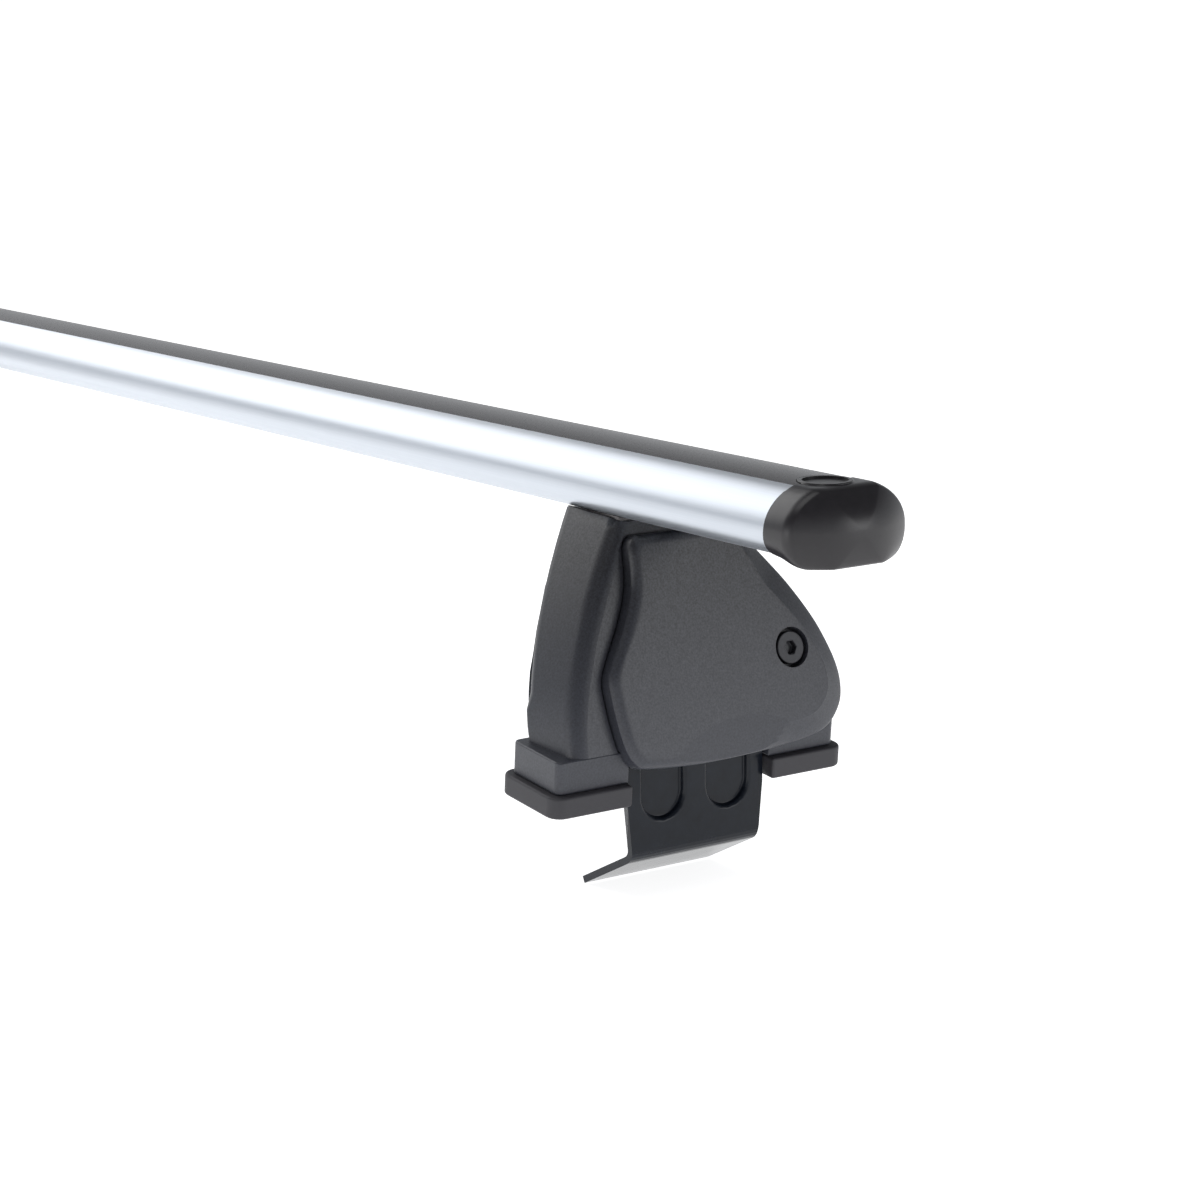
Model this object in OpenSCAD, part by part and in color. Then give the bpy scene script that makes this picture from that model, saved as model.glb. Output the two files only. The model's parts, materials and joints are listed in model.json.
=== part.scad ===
// Roof rack crossbar: a hollow aero bar with a rubber strip in its top slot, two domed end caps
// and a mirrored pair of feet. Each foot is a moulded tower under the bar that stands on a tilted
// rubber pad, with a lift-off cover and a screw-drawn steel hook that clamps the roof edge.
// X runs along the bar, Z is up, and the origin is on top of the strip at mid-length.

/* [Bar] */
// Length of the aluminium bar between its end caps
bar_len = 1200; // [900:10:1500]
// Width of the bar from side to side
bar_w = 56; // [52:0.5:64]
// Height of the bar
bar_h = 25; // [25:0.5:30]
// Thickness of the bar's skin and inner walls
bar_wall = 2.2; // [1.8:0.1:2.4]
// Height of the bar's widest line above its underside
bar_nose_z = 9; // [8:0.5:11]
// Width of the mouth of the top and bottom slots
slot_mouth = 11; // [10:0.5:12]
// Width inside the top slot
slot_inner = 21; // [19:0.5:22]
// Width of the strip that lies flush in the bar's top
strip_w = 27; // [25:0.5:29]
// Thickness of the strip at its edges
strip_t = 1.6; // [1.2:0.1:2.2]

/* [End caps] */
// Length of an end cap outside the bar
cap_len = 29; // [24:1:36]
// Straight part of the cap before its dome begins
cap_straight = 14; // [10:1:16]
// How far the cap's plugs reach into the bar
cap_plug = 16; // [10:1:24]
// Radius of the round dished boss on top of the cap
boss_r = 10.5; // [8:0.5:12]

/* [Foot tower] */
// Distance from the bar's end to the tower's outer face at the pad
foot_inset = 76.7; // [70:1:110]
// Height from the pad's top to the underside of the bar at the outer face
foot_h = 88.4; // [84:1:110]
// Lean of the tower's outer face from the vertical, in degrees
face_lean = 13.5; // [10:0.5:15]
// Lean of the tower's inner face from the vertical, in degrees
back_lean = 18.5; // [15:0.5:19]
// Depth of the tower along the bar at its foot
tower_d = 29.5; // [28:0.5:34]
// Half width of the tower just under the bar
top_half = 24.5; // [22:0.5:26]
// Half width of the tower at its foot, on the plain side
foot_half = 64; // [60:1:68]
// Half width of the tower at its foot, on the side that the cover wraps
wrap_half = 70; // [66:1:72]
// Wall thickness of the tower
tower_wall = 3; // [2.5:0.1:3.5]
// Radius of the tower's outer corners
tower_r = 7; // [5:0.5:9]
// Height that the tower's saddle climbs up the bar's sides
saddle_rise = 3.6; // [3:0.2:5]
// Thickness of the liner between the bar and the tower
liner_t = 1.2; // [0.8:0.1:2]

/* [Cover] */
// How far the cover stands out from the tower's face
cover_proud = 7; // [6:0.5:9]
// Wall thickness of the cover
cover_wall = 2.6; // [2:0.1:3]
// Depth of the rebate in the tower that the cover's rim sits in
rebate = 1.6; // [1.2:0.1:2]
// Depth of the shallow scoop over the hook
scoop_depth = 1.4; // [0.8:0.1:1.6]
// Radius of the recess round the cover screw's head
recess_r = 8.3; // [8:0.1:9.5]

/* [Pad] */
// Tilt of the pad along the bar, outer edge down, in degrees
pad_tilt = 5.5; // [2:0.5:8]
// Length of the pad block across the bar
pad_w = 137; // [130:1:146]
// Depth of the pad block along the bar
pad_d = 33; // [31:0.5:38]
// Height of the pad block
pad_h = 13.4; // [11:0.5:18]
// Thickness of the rubber pad
rubber_h = 8.8; // [7:0.2:12]
// How far the rubber stands out round the block
rubber_lip = 3.4; // [2:0.2:5]

/* [Hook] */
// Thickness of the hook's steel
hook_t = 3; // [2.5:0.1:3.5]
// Width of the hook at its lip
hook_w = 63; // [56:1:66]
// Distance from the pad block's outer face in to the hook plate's face
hook_inset = 3.8; // [3:0.2:5]
// Height of the hook's outer bend below the bar's underside
hook_drop = 137.7; // [132:1:146]
// Length of the hook's lip
lip_len = 34; // [24:1:40]
// Slope of the lip below the horizontal, in degrees
lip_slope = 26.8; // [15:1:35]
// Depth of the two pressed pockets
pocket_depth = 2.6; // [1.5:0.1:3]

/* [Hardware] */
// Thread diameter of the bolts and screws
thread_d = 8; // [7:0.5:8.5]
// Diameter of the cover screw's low head
head_d = 13.4; // [12:0.2:14]
// Width across flats of the hex sockets
socket_af = 5; // [4:0.5:6]
// Radial running clearance round a shank
run_gap = 0.06; // [0.02:0.01:0.1]
// Distance that the tension screw can draw the hook up from where it is
draw_up = 4.5; // [3:0.5:5]

/* [Hidden] */

// Clearances and small sizes
gap = 0.3;
eps = 1;
round_fn = 48;
arc_steps = 6;

// Bar section: an elliptic shoulder above the nose and a round corner below it
shoulder_y = 4;
shoulder_top = 17.5;
low_corner_r = 8;
recess_half = strip_w / 2 + 0.2;
slot_half = slot_mouth / 2;
top_slot_floor = bar_h / 2;
top_lip = 2.2;
bottom_slot_w = 18;
bottom_slot_roof = top_slot_floor - bar_wall;

// Tower: where its faces are, x from the bar's end and z from the bar's underside
face_x = -foot_inset;
face_z = -foot_h;
tower_top = saddle_rise;
draft = 2.5;
roof_t = 4.5;
cavity_top = -liner_t - roof_t;
rib_t = 2.6;
bay_half = hook_w / 2 + 3.8;
rib_bottom = -70;
t_bolt_x = -117 + (76.7 - foot_inset);

// Cover: middle for its insets and place of its screw, in the tower face's own plane
cover_mid = [12, 36];
screw_uv = [45.8, 30.1];
cover_gap = 0.5;
head_low = 1.6;
head_h = 4.6;
boss_d = 20;
insert_len = 12;
insert_r = 6;

// Hook and its screw: the tab on top of the hook is square to the screw
hook_face_x = face_x - hook_inset;
bend_r = 4;
tab_len = 20;
tab_axis = 11;
tab_z = -72;
draw_angle = 25;
tab_half = 25;
bracket_t = 3;
bracket_back = 10;
bracket_front = 6;
bracket_end = 3;
bracket_low = hook_t / 2 + draw_up + 0.5;
hook_top_half = hook_w / 2 + 2;
notch_half = hook_top_half + 1.2;
notch_d = 15.5;
pocket_y = 16;
pocket_r = 10;
pocket_low = -119.5;

// Points of a quarter or other arc, with its own radius in each direction
function arc(c, rx, ry, a0, a1, n = arc_steps) =
    [for (i = [0:n]) let (a = a0 + (a1 - a0) * i / n) [c[0] + rx * cos(a), c[1] + ry * sin(a)]];

// Right half of the bar's section, grown by g, from the middle of its underside to its top
function bar_half(g = 0) =
    let (
        half = bar_w / 2,
        rx = half - shoulder_y + g,
        ry = shoulder_top + g,
        top_a = asin((bar_h - bar_nose_z + g) / ry)
    ) concat(
        arc([half - low_corner_r, low_corner_r], low_corner_r + g, low_corner_r + g, -90, 0, 10),
        arc([shoulder_y, bar_nose_z], rx, ry, 0, top_a, 14)
    );

// Whole section of the bar, as Y and Z
function bar_outline(g = 0) =
    let (right = bar_half(g), n = len(right))
    concat(right, [for (i = [n - 1:-1:0]) [-right[i][0], right[i][1]]]);

function average(points) =
    let (n = len(points))
    [for (k = [0:2]) [for (p = points) p[k]] * [for (p = points) 1] / n];

// Solid through a stack of rings with as many points each, closed by a fan at either end
module ring_solid(rings, low_tip, high_tip) {
    n = len(rings[0]);
    m = len(rings);
    points = [for (r = rings) each r, low_tip, high_tip];
    faces = [
        for (j = [0:m - 2], i = [0:n - 1])
            let (a = j * n + i, b = j * n + (i + 1) % n)
            each [[a, b + n, b], [a, a + n, b + n]],
        for (i = [0:n - 1]) [m * n, i, (i + 1) % n],
        for (i = [0:n - 1]) [m * n + 1, (m - 1) * n + (i + 1) % n, (m - 1) * n + i]
    ];
    polyhedron(points, faces, convexity = 8);
}

// Places a node on the right side, or mirrored on the left, from the bar's end
module at_end(side) {
    mirror([side == "left" ? 1 : 0, 0, 0])
        translate([bar_len / 2, 0, -bar_h])
            children();
}

// Turns a flat Y and Z outline into a solid along X
module along_x(x0, x1) {
    translate([x0, 0, 0])
        rotate([90, 0, 90])
            linear_extrude(x1 - x0)
                children();
}

// Turns a flat X and Z outline into a solid along Y, centred
module across_y(w) {
    translate([0, w / 2, 0])
        rotate([90, 0, 0])
            linear_extrude(w)
                children();
}

// Lays children on the tower's leaning outer face: x is Y, y is up the face, z is out of it
module on_face(w = 0) {
    translate([face_x, 0, face_z])
        rotate([0, -face_lean, 0])
            rotate([90, 0, 90])
                translate([0, 0, w])
                    children();
}

// Aluminium extrusion

module bar_skin() {
    difference() {
        polygon(bar_outline());
        translate([-recess_half, bar_h - strip_t])
            square([2 * recess_half, strip_t + eps]);
    }
}

module side_chamber() {
    inner_half = slot_inner / 2 + bar_wall;
    intersection() {
        polygon(bar_outline(-bar_wall));
        translate([inner_half, -eps])
            square([bar_w, bar_h - strip_t - bar_wall + eps]);
    }
}

module bar_section() {
    difference() {
        bar_skin();
        side_chamber();
        mirror([1, 0])
            side_chamber();
        translate([-slot_inner / 2, top_slot_floor])
            square([slot_inner, bar_h - strip_t - top_lip - top_slot_floor]);
        translate([-slot_half, top_slot_floor])
            square([slot_mouth, bar_h]);
        translate([-bottom_slot_w / 2, bar_wall])
            square([bottom_slot_w, bottom_slot_roof - bar_wall]);
        translate([-slot_half, -eps])
            square([slot_mouth, bottom_slot_roof + eps]);
    }
}

module bar_profile() {
    color("silver")
        translate([0, 0, -bar_h])
            along_x(-bar_len / 2, bar_len / 2)
                bar_section();
}

// Rubber strip: a flush top band with a stem through the slot's mouth and lips under it
module strip_section() {
    stem_half = slot_half - 0.2;
    lip_low = bar_h - strip_t - top_lip - 1.4;
    translate([-strip_w / 2, bar_h - strip_t])
        square([strip_w, strip_t]);
    translate([-stem_half, lip_low])
        square([2 * stem_half, bar_h - strip_t - lip_low]);
    for (s = [-1, 1])
        polygon([
            [s * (stem_half - 1), lip_low],
            [s * (stem_half + 1.6), bar_h - strip_t - top_lip - 0.2],
            [s * (stem_half - 1), bar_h - strip_t - top_lip - 0.2]
        ]);
}

module slot_strip() {
    strip_half = bar_len / 2 - gap;
    color("dimgray")
        translate([0, 0, -bar_h])
            difference() {
                along_x(-strip_half, strip_half)
                    strip_section();
                for (s = [-1, 1])
                    translate([s * (bar_len / 2 + 1), 0, 0])
                        cylinder(h = bar_h + eps, r = boss_r + gap, $fn = round_fn);
            }
}

// End cap: the bar's section drawn out to a dome that keeps its flat underside
function dome(x, x0, x1, p) = x <= x0 ? 1 : pow(max(0, 1 - pow((x - x0) / (x1 - x0), 2)), p);

function cap_ring(x) =
    let (
        tip = cap_len + 0.4,
        sw = dome(x, cap_straight, tip, 0.5),
        st = dome(x, cap_straight - 2, tip + 1, 0.62),
        sb = dome(x, cap_len - 6, tip, 0.5)
    ) [
        for (p = bar_outline(0.4))
            let (dz = p[1] - bar_nose_z)
            [x, p[0] * sw, bar_nose_z + dz * (dz > 0 ? st : sb)]
    ];

module cap_dome() {
    dome_steps = 9;
    xs = concat(
        [0.05, cap_straight - 2],
        [for (i = [1:dome_steps]) cap_straight - 2 + (cap_len - cap_straight + 2) * sin(90 * i / dome_steps)]
    );
    ring_solid([for (x = xs) cap_ring(x)], [0.05, 0, bar_nose_z], [cap_len + 0.3, 0, bar_nose_z]);
}

module cap_plugs() {
    plug_half = slot_inner / 2 + bar_wall + 0.25;
    along_x(-cap_plug, eps)
        intersection() {
            polygon(bar_outline(-bar_wall - 0.25));
            for (s = [0, 1])
                mirror([s, 0])
                    translate([plug_half, 0])
                        square([bar_w / 2, bar_h - strip_t - bar_wall - 0.25]);
        }
}

module end_cap(side) {
    boss_top = bar_h + 1;
    color([0.16, 0.16, 0.18])
        at_end(side)
            difference() {
                union() {
                    cap_dome();
                    cap_plugs();
                    translate([1, 0, bar_h - strip_t + 0.05])
                        cylinder(h = boss_top - bar_h + strip_t - 0.05, r = boss_r, $fn = round_fn);
                }
                translate([1, 0, boss_top - 0.9])
                    cylinder(h = eps + 1, r = boss_r - 1.6, $fn = round_fn);
            }
}

// Foot tower: rounded sections between its leaning faces, flared towards the pad
function rise(z) = (z - face_z) / (tower_top - face_z);

function plain_half(z) = foot_half - (foot_half - top_half) * pow(max(0, rise(z)), 1.6);

function wide_half(z) = wrap_half - (wrap_half - top_half) * pow(max(0, rise(z)), 1.75);

function outer_x(z) = face_x - (z - face_z) * tan(face_lean);

function inner_x(z) = face_x - tower_d - (z - face_z) * tan(back_lean);

// One level of the tower, inset by its wall, sheared to the pad's tilt near the bottom
function tower_ring(z, inset) =
    let (
        xo = outer_x(z) - inset,
        xi = inner_x(z) + inset,
        yp = plain_half(z) - inset,
        yw = wide_half(z) - inset,
        r = max(1, tower_r - inset),
        shear = tan(pad_tilt) * max(0, 1 - (z - face_z) / 30),
        flat = concat(
            arc([xo - r, yw - draft - r], r, r, 0, 90),
            arc([xi + r, yw - r], r, r, 90, 180),
            arc([xi + r, r - yp], r, r, 180, 270),
            arc([xo - r, r + draft - yp], r, r, 270, 360)
        )
    )
    [for (p = flat) [p[0], p[1], z + (face_x - p[0]) * shear]];

module tower_shell() {
    levels = 12;
    outer_z = [for (i = [0:levels]) face_z + (tower_top - face_z) * pow(i / levels, 1.1)];
    inner_z = [for (i = [levels - 3:-1:0]) face_z + (cavity_top - face_z) * i / (levels - 3)];
    inner = [for (z = inner_z) tower_ring(z, tower_wall)];
    outer = [for (z = outer_z) tower_ring(z, 0)];
    ring_solid(concat(inner, outer), average(inner[0]), average(outer[levels]));
}

// Walls either side of the hook's bay, joined to the tower's back wall and roof
module bay_ribs() {
    intersection() {
        for (s = [-1, 1])
            translate([0, s * (bay_half + rib_t / 2), 0])
                across_y(rib_t)
                    polygon([
                        [inner_x(rib_bottom) + 1, rib_bottom],
                        [outer_x(rib_bottom) - tower_wall - 1, rib_bottom],
                        [outer_x(cavity_top) - tower_wall - 1, cavity_top + 1],
                        [inner_x(cavity_top) + 1, cavity_top + 1]
                    ]);
        tower_core();
    }
}

// Everything inside the tower's outer surface
module tower_core() {
    levels = 6;
    zs = [for (i = [0:levels]) face_z + (tower_top - 1 - face_z) * i / levels];
    rings = [for (z = zs) tower_ring(z, tower_wall / 2)];
    ring_solid(rings, average(rings[0]), average(rings[levels]));
}

// Ledges under the clamp bracket's ends, square to the tension screw
module bracket_ledges() {
    ledge = 5;
    for (s = [-1, 1])
        on_draw_axis(bracket_low - 4)
            translate([-bracket_back, s > 0 ? bay_half - ledge : -bay_half - eps, 0])
                cube([bracket_back + bracket_front, ledge + eps, 4]);
}

module insert_boss() {
    on_face(-rebate - insert_len - 3)
        translate(screw_uv)
            cylinder(h = insert_len + 3, d = boss_d, $fn = round_fn);
}

// Opening in the tower's face behind the cover, with a web left round the insert's boss
module face_opening() {
    difference() {
        polygon(cover_outline(5.5));
        translate(screw_uv)
            circle(d = boss_d + 3, $fn = round_fn);
        translate(screw_uv - [0, boss_d / 2])
            square([boss_d * 2, boss_d]);
    }
}

module foot_housing(side) {
    color([0.2, 0.2, 0.23])
        at_end(side)
            difference() {
                union() {
                    tower_shell();
                    bay_ribs();
                    bracket_ledges();
                    insert_boss();
                }
                along_x(-400, 0)
                    polygon(bar_outline(liner_t + gap));
                on_face(-rebate)
                    linear_extrude(20)
                        polygon(cover_outline(-cover_gap - 0.4));
                on_face(-tower_wall - 3)
                    linear_extrude(tower_wall + 4)
                        face_opening();
                on_face(-rebate - insert_len)
                    translate(screw_uv)
                        cylinder(h = insert_len + eps, r = insert_r, $fn = round_fn);
                translate([t_bolt_x, 0, cavity_top - eps])
                    cylinder(h = 20, r = thread_d / 2 + 0.3, $fn = round_fn);
            }
}

// Liner: a thin skin that follows the bar's underside on top of the tower
module saddle_liner(side) {
    liner_half = top_half - 0.8;
    x_in = inner_x(0) + 1.2;
    x_out = outer_x(0) - 1.2;
    color("black")
        at_end(side)
            difference() {
                intersection() {
                    along_x(x_in, x_out)
                        difference() {
                            polygon(bar_outline(gap + liner_t));
                            polygon(bar_outline(gap));
                        }
                    translate([x_in, -liner_half, -10])
                        cube([x_out - x_in, 2 * liner_half, 10 + saddle_rise]);
                }
                translate([t_bolt_x, 0, -5])
                    cylinder(h = 10, r = thread_d / 2 + 0.3, $fn = round_fn);
            }
}

// Cover outline on the tower's face: a short top edge, the wavy edge beside the tower's bare
// flank, the low edge over the hook and the bulged edge that wraps the far flank
cover_knots = [
    [-16, 83.6], [-21.5, 83.2], [-24.6, 79], [-25.4, 69], [-27, 61], [-32, 49.5], [-40, 35.5],
    [-43, 28.5], [-43, 21], [-41.6, 9], [-39.6, 0], [-36, -5.6], [-30, -8], [-5, -9.8],
    [25, -9.3], [50, -7.4], [62, -4], [69.5, 3.5], [71.8, 12], [70.5, 22], [65.6, 34.5],
    [60, 44.5], [51.6, 56.5], [42.9, 66.7], [33, 77], [27, 82.5], [20, 83.6]
];

// Smooth closed curve through the knots
function spline(knots, steps = 3) =
    let (n = len(knots))
    [
        for (i = [0:n - 1], k = [0:steps - 1])
            let (
                t = k / steps,
                a = knots[(i + n - 1) % n],
                b = knots[i],
                c = knots[(i + 1) % n],
                d = knots[(i + 2) % n]
            )
            0.5 * (2 * b + (c - a) * t + (2 * a - 5 * b + 4 * c - d) * t * t
                + (3 * b - 3 * c + d - a) * t * t * t)
    ];

function pulled_in(p, d) = cover_mid + (p - cover_mid) * (1 - d / norm(p - cover_mid));

function cover_outline(d) = [for (p = spline(cover_knots)) pulled_in(p, d)];

// 0 on the plain side of the cover and 1 where it falls back round the far flank
function wrap(p) = let (t = min(1, max(0, (p[0] - 22) / 26))) t * t * (3 - 2 * t);

// Ring of the cover at height w, pulled in by d, and by d_wrap and down by drop on the far side
function cover_ring(w, d, d_wrap = 0, drop = 0) = [
    for (p = spline(cover_knots))
        let (g = wrap(p), q = pulled_in(p, d + d_wrap * g))
        [q[0], q[1], w - drop * g]
];

module cover_skin() {
    low = gap - rebate;
    deep = cover_proud - cover_wall;
    inner = [
        cover_ring(deep - 0.3, 6, 9),
        cover_ring(deep - 1.2, cover_wall + 1, 4, 0.6),
        cover_ring(1, cover_wall, 1),
        cover_ring(low, cover_wall)
    ];
    outer = [
        cover_ring(low, 0),
        cover_ring(cover_proud - 3.4, 0, 0, 1.4),
        cover_ring(cover_proud - 1.6, 0.8, 2.6, 1),
        cover_ring(cover_proud - 0.6, 2.1, 5.6, 0.5),
        cover_ring(cover_proud, 4.4, 7)
    ];
    ring_solid(concat(inner, outer), concat(cover_mid, deep), concat(cover_mid, cover_proud + 0.5));
}

// Shallow scoop over the hook: a very wide cylinder, tipped so that it bites at the low edge
module cover_scoop() {
    scoop_r = 330;
    scoop_u = 17;
    scoop_v = 8;
    translate([scoop_u, scoop_v, cover_proud + 0.3 + scoop_r])
        rotate([90 + 5, 0, 0])
            translate([0, 0, -40])
                cylinder(h = 120, r = scoop_r, $fn = 360);
}

module cover(side) {
    boss_low = gap - rebate;
    color([0.21, 0.21, 0.24])
        at_end(side)
            difference() {
                on_face()
                    difference() {
                        union() {
                            cover_skin();
                            translate(concat(screw_uv, boss_low))
                                cylinder(h = cover_proud - 2 - boss_low, r = recess_r + 1.8, $fn = round_fn);
                        }
                        translate(concat(screw_uv, head_low))
                            cylinder(h = 20, r = recess_r, $fn = round_fn);
                        translate(concat(screw_uv, -5))
                            cylinder(h = 20, r = thread_d / 2 + 0.3, $fn = round_fn);
                    }
                clear_of_pad();
            }
}

// Space of the pad block, which the cover's low rim hangs in front of
module clear_of_pad() {
    on_pad(-2 * pad_h)
        translate([-pad_d, -pad_w, 0])
            cube([pad_d + gap, 2 * pad_w, 2 * pad_h + gap]);
}

// Socket screws and nuts

module hex(af, h) {
    cylinder(h = h, d = af / cos(30), $fn = 6);
}

// Screw along Z with its head's seat at zero
module socket_screw(d, dk, k, len, af) {
    difference() {
        union() {
            cylinder(h = k, d = dk, $fn = round_fn);
            translate([0, 0, -len])
                cylinder(h = len + 0.1, d = d, $fn = round_fn);
        }
        translate([0, 0, k - k * 0.6])
            hex(af, k);
    }
}

module cover_screw(side) {
    screw_len = insert_len + rebate + head_low - 1;
    color("dimgray")
        at_end(side)
            on_face(head_low + 0.1)
                translate(screw_uv)
                    socket_screw(thread_d, head_d, head_h, screw_len, socket_af);
}

module screw_insert(side) {
    color("goldenrod")
        at_end(side)
            on_face(-rebate - insert_len)
                translate(screw_uv)
                    difference() {
                        cylinder(h = insert_len - gap, r = insert_r, $fn = round_fn);
                        translate([0, 0, -eps])
                            cylinder(h = insert_len + 2 * eps, r = thread_d / 2 + run_gap, $fn = round_fn);
                    }
}

// T bolt that hangs from the bar's bottom slot and pulls the tower up against it
module t_bolt(side) {
    plate_h = 3.4;
    plate_w = bottom_slot_w - 2 * gap;
    shank_low = cavity_top - 14;
    color("gray")
        at_end(side)
            translate([t_bolt_x, 0, 0]) {
                translate([-plate_w / 2, -plate_w / 2, bar_wall + gap])
                    cube([plate_w, plate_w, plate_h]);
                translate([0, 0, shank_low])
                    cylinder(h = bar_wall + gap - shank_low + 0.1, d = thread_d, $fn = round_fn);
            }
}

module t_washer(side) {
    color("lightgray")
        at_end(side)
            translate([t_bolt_x, 0, cavity_top - 1.6])
                difference() {
                    cylinder(h = 1.6, r = thread_d, $fn = round_fn);
                    translate([0, 0, -eps])
                        cylinder(h = 4, r = thread_d / 2 + run_gap, $fn = round_fn);
                }
}

module t_nut(side) {
    nut_h = 6.5;
    color("gray")
        at_end(side)
            translate([t_bolt_x, 0, cavity_top - 1.6 - nut_h])
                difference() {
                    hex(13, nut_h);
                    translate([0, 0, -eps])
                        cylinder(h = nut_h + 2 * eps, r = thread_d / 2 + run_gap, $fn = round_fn);
                }
}

// Tension screw axis: square through the hook's tab, leaning outboard as it rises
module on_draw_axis(t = 0) {
    translate([hook_face_x - bend_r - hook_t, 0, tab_z])
        rotate([0, draw_angle, 0])
            translate([-tab_axis, 0, bend_r + hook_t / 2 + t])
                children();
}

module clamp_bracket(side) {
    color("lightsteelblue")
        at_end(side)
            on_draw_axis(bracket_low)
                difference() {
                    union() {
                        translate([-bracket_back, -bay_half, 0])
                            cube([bracket_back + bracket_end, 2 * bay_half, bracket_t]);
                        translate([-bracket_back, -tab_half, 0])
                            cube([bracket_back + bracket_front, 2 * tab_half, bracket_t]);
                        translate([-bracket_back, -tab_half, 0])
                            cube([bracket_t, 2 * tab_half, bracket_t + 5]);
                    }
                    translate([0, 0, -eps])
                        cylinder(h = 3 * bracket_t, r = thread_d / 2 + run_gap, $fn = round_fn);
                }
}

module tension_screw(side) {
    screw_len = 27;
    color("gray")
        at_end(side)
            on_draw_axis(bracket_low + bracket_t + 0.1)
                socket_screw(thread_d, thread_d * 1.6, 5, screw_len, socket_af);
}

// Hook: a pressed plate with an inboard lip below and a tab for the screw above
function bend_arc(c, r, a0, a1) = arc(c, r, r, a0, a1, 5);

module hook_side_outline() {
    ro = bend_r + hook_t;
    x0 = hook_face_x;
    low = -hook_drop;
    c_low = [x0 - ro, low + ro];
    c_top = [x0 - ro, tab_z];
    tab_a = 90 - draw_angle;
    lip_dir = [-cos(lip_slope), -sin(lip_slope)];
    tab_dir = [-cos(draw_angle), sin(draw_angle)];
    outer_low = c_low + ro * [cos(-90 + lip_slope), sin(-90 + lip_slope)];
    inner_low = c_low + bend_r * [cos(-90 + lip_slope), sin(-90 + lip_slope)];
    outer_top = c_top + ro * [cos(tab_a), sin(tab_a)];
    inner_top = c_top + bend_r * [cos(tab_a), sin(tab_a)];
    polygon(concat(
        [outer_low + lip_dir * lip_len],
        bend_arc(c_low, ro, -90 + lip_slope, 0),
        bend_arc(c_top, ro, 0, tab_a),
        [outer_top + tab_dir * tab_len, inner_top + tab_dir * tab_len],
        bend_arc(c_top, bend_r, tab_a, 0),
        bend_arc(c_low, bend_r, 0, -90 + lip_slope),
        [inner_low + lip_dir * lip_len]
    ));
}

module hook_front_outline() {
    low_half = hook_w / 2;
    polygon([
        [-low_half, -200], [low_half, -200], [low_half, -hook_drop + 5], [hook_top_half, -112],
        [hook_top_half, -98], [tab_half, tab_z - 12], [tab_half, 0], [-tab_half, 0],
        [-tab_half, tab_z - 12], [-hook_top_half, -98], [-hook_top_half, -112],
        [-low_half, -hook_drop + 5]
    ]);
}

// Flat outline of a pressed pocket: round below and open upwards
module pocket_outline(r) {
    translate([0, pocket_low + pocket_r])
        circle(r = r, $fn = round_fn);
    translate([-r, pocket_low + pocket_r])
        square([2 * r, 25]);
}

module pocket_pair(x0, x1, r) {
    for (s = [-1, 1])
        translate([0, s * pocket_y, 0])
            along_x(x0, x1)
                pocket_outline(r);
}

module clamp_hook(side) {
    back_x = hook_face_x - hook_t;
    color([0.2, 0.23, 0.28])
        at_end(side)
            difference() {
                union() {
                    intersection() {
                        across_y(2 * hook_top_half)
                            hook_side_outline();
                        along_x(-200, 0)
                            hook_front_outline();
                    }
                    pocket_pair(back_x - pocket_depth + 0.6, back_x + 1, pocket_r + 1.2);
                }
                pocket_pair(hook_face_x - pocket_depth, hook_face_x + 5, pocket_r);
                on_draw_axis(-10)
                    cylinder(h = 20, r = thread_d / 2 + 0.3, $fn = round_fn);
            }
}

module hook_nut(side) {
    nut_h = 6.5;
    color("gray")
        at_end(side)
            on_draw_axis(-hook_t / 2 - nut_h)
                difference() {
                    hex(13, nut_h);
                    translate([0, 0, -eps])
                        cylinder(h = nut_h + 2 * eps, r = thread_d / 2 + run_gap, $fn = round_fn);
                }
}

// Pad under the tower: its own frame has the block's top outer edge as x = 0, inboard is -x
module on_pad(z = 0) {
    translate([face_x, 0, face_z])
        rotate([0, pad_tilt, 0])
            translate([0, 0, z])
                children();
}

module rounded_plate(x0, x1, w, r, h) {
    linear_extrude(h)
        polygon(concat(
            arc([x1 - r, w / 2 - r], r, r, 0, 90),
            arc([x0 + r, w / 2 - r], r, r, 90, 180),
            arc([x0 + r, r - w / 2], r, r, 180, 270),
            arc([x1 - r, r - w / 2], r, r, 270, 360)
        ));
}

// Space that the hook passes through at the pad's outer edge
module hook_notch(h) {
    translate([-notch_d, -notch_half, -h])
        cube([notch_d + 20, 2 * notch_half, 2 * h]);
}

module pad_block(side) {
    plug_h = 4;
    color([0.27, 0.28, 0.31])
        at_end(side)
            difference() {
                union() {
                    on_pad(-pad_h)
                        rounded_plate(-pad_d, 0, pad_w, 3, pad_h);
                    on_pad(-1)
                        rounded_plate(-pad_d + 8, -8, 2 * foot_half - 24, 3, plug_h + 1);
                }
                on_pad()
                    hook_notch(40);
            }
}

module roof_pad(side) {
    grooves = 4;
    pitch = (pad_d + 2 * rubber_lip) / (grooves + 1);
    color([0.25, 0.25, 0.28])
        at_end(side)
            on_pad(-pad_h - rubber_h)
                difference() {
                    rounded_plate(-pad_d - rubber_lip, rubber_lip, pad_w + 2 * rubber_lip, 6, rubber_h);
                    hook_notch(40);
                    for (i = [1:grooves])
                        translate([rubber_lip - i * pitch - 1, -pad_w, -eps])
                            cube([2, 2 * pad_w, 1.5 + eps]);
                }
}

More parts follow.
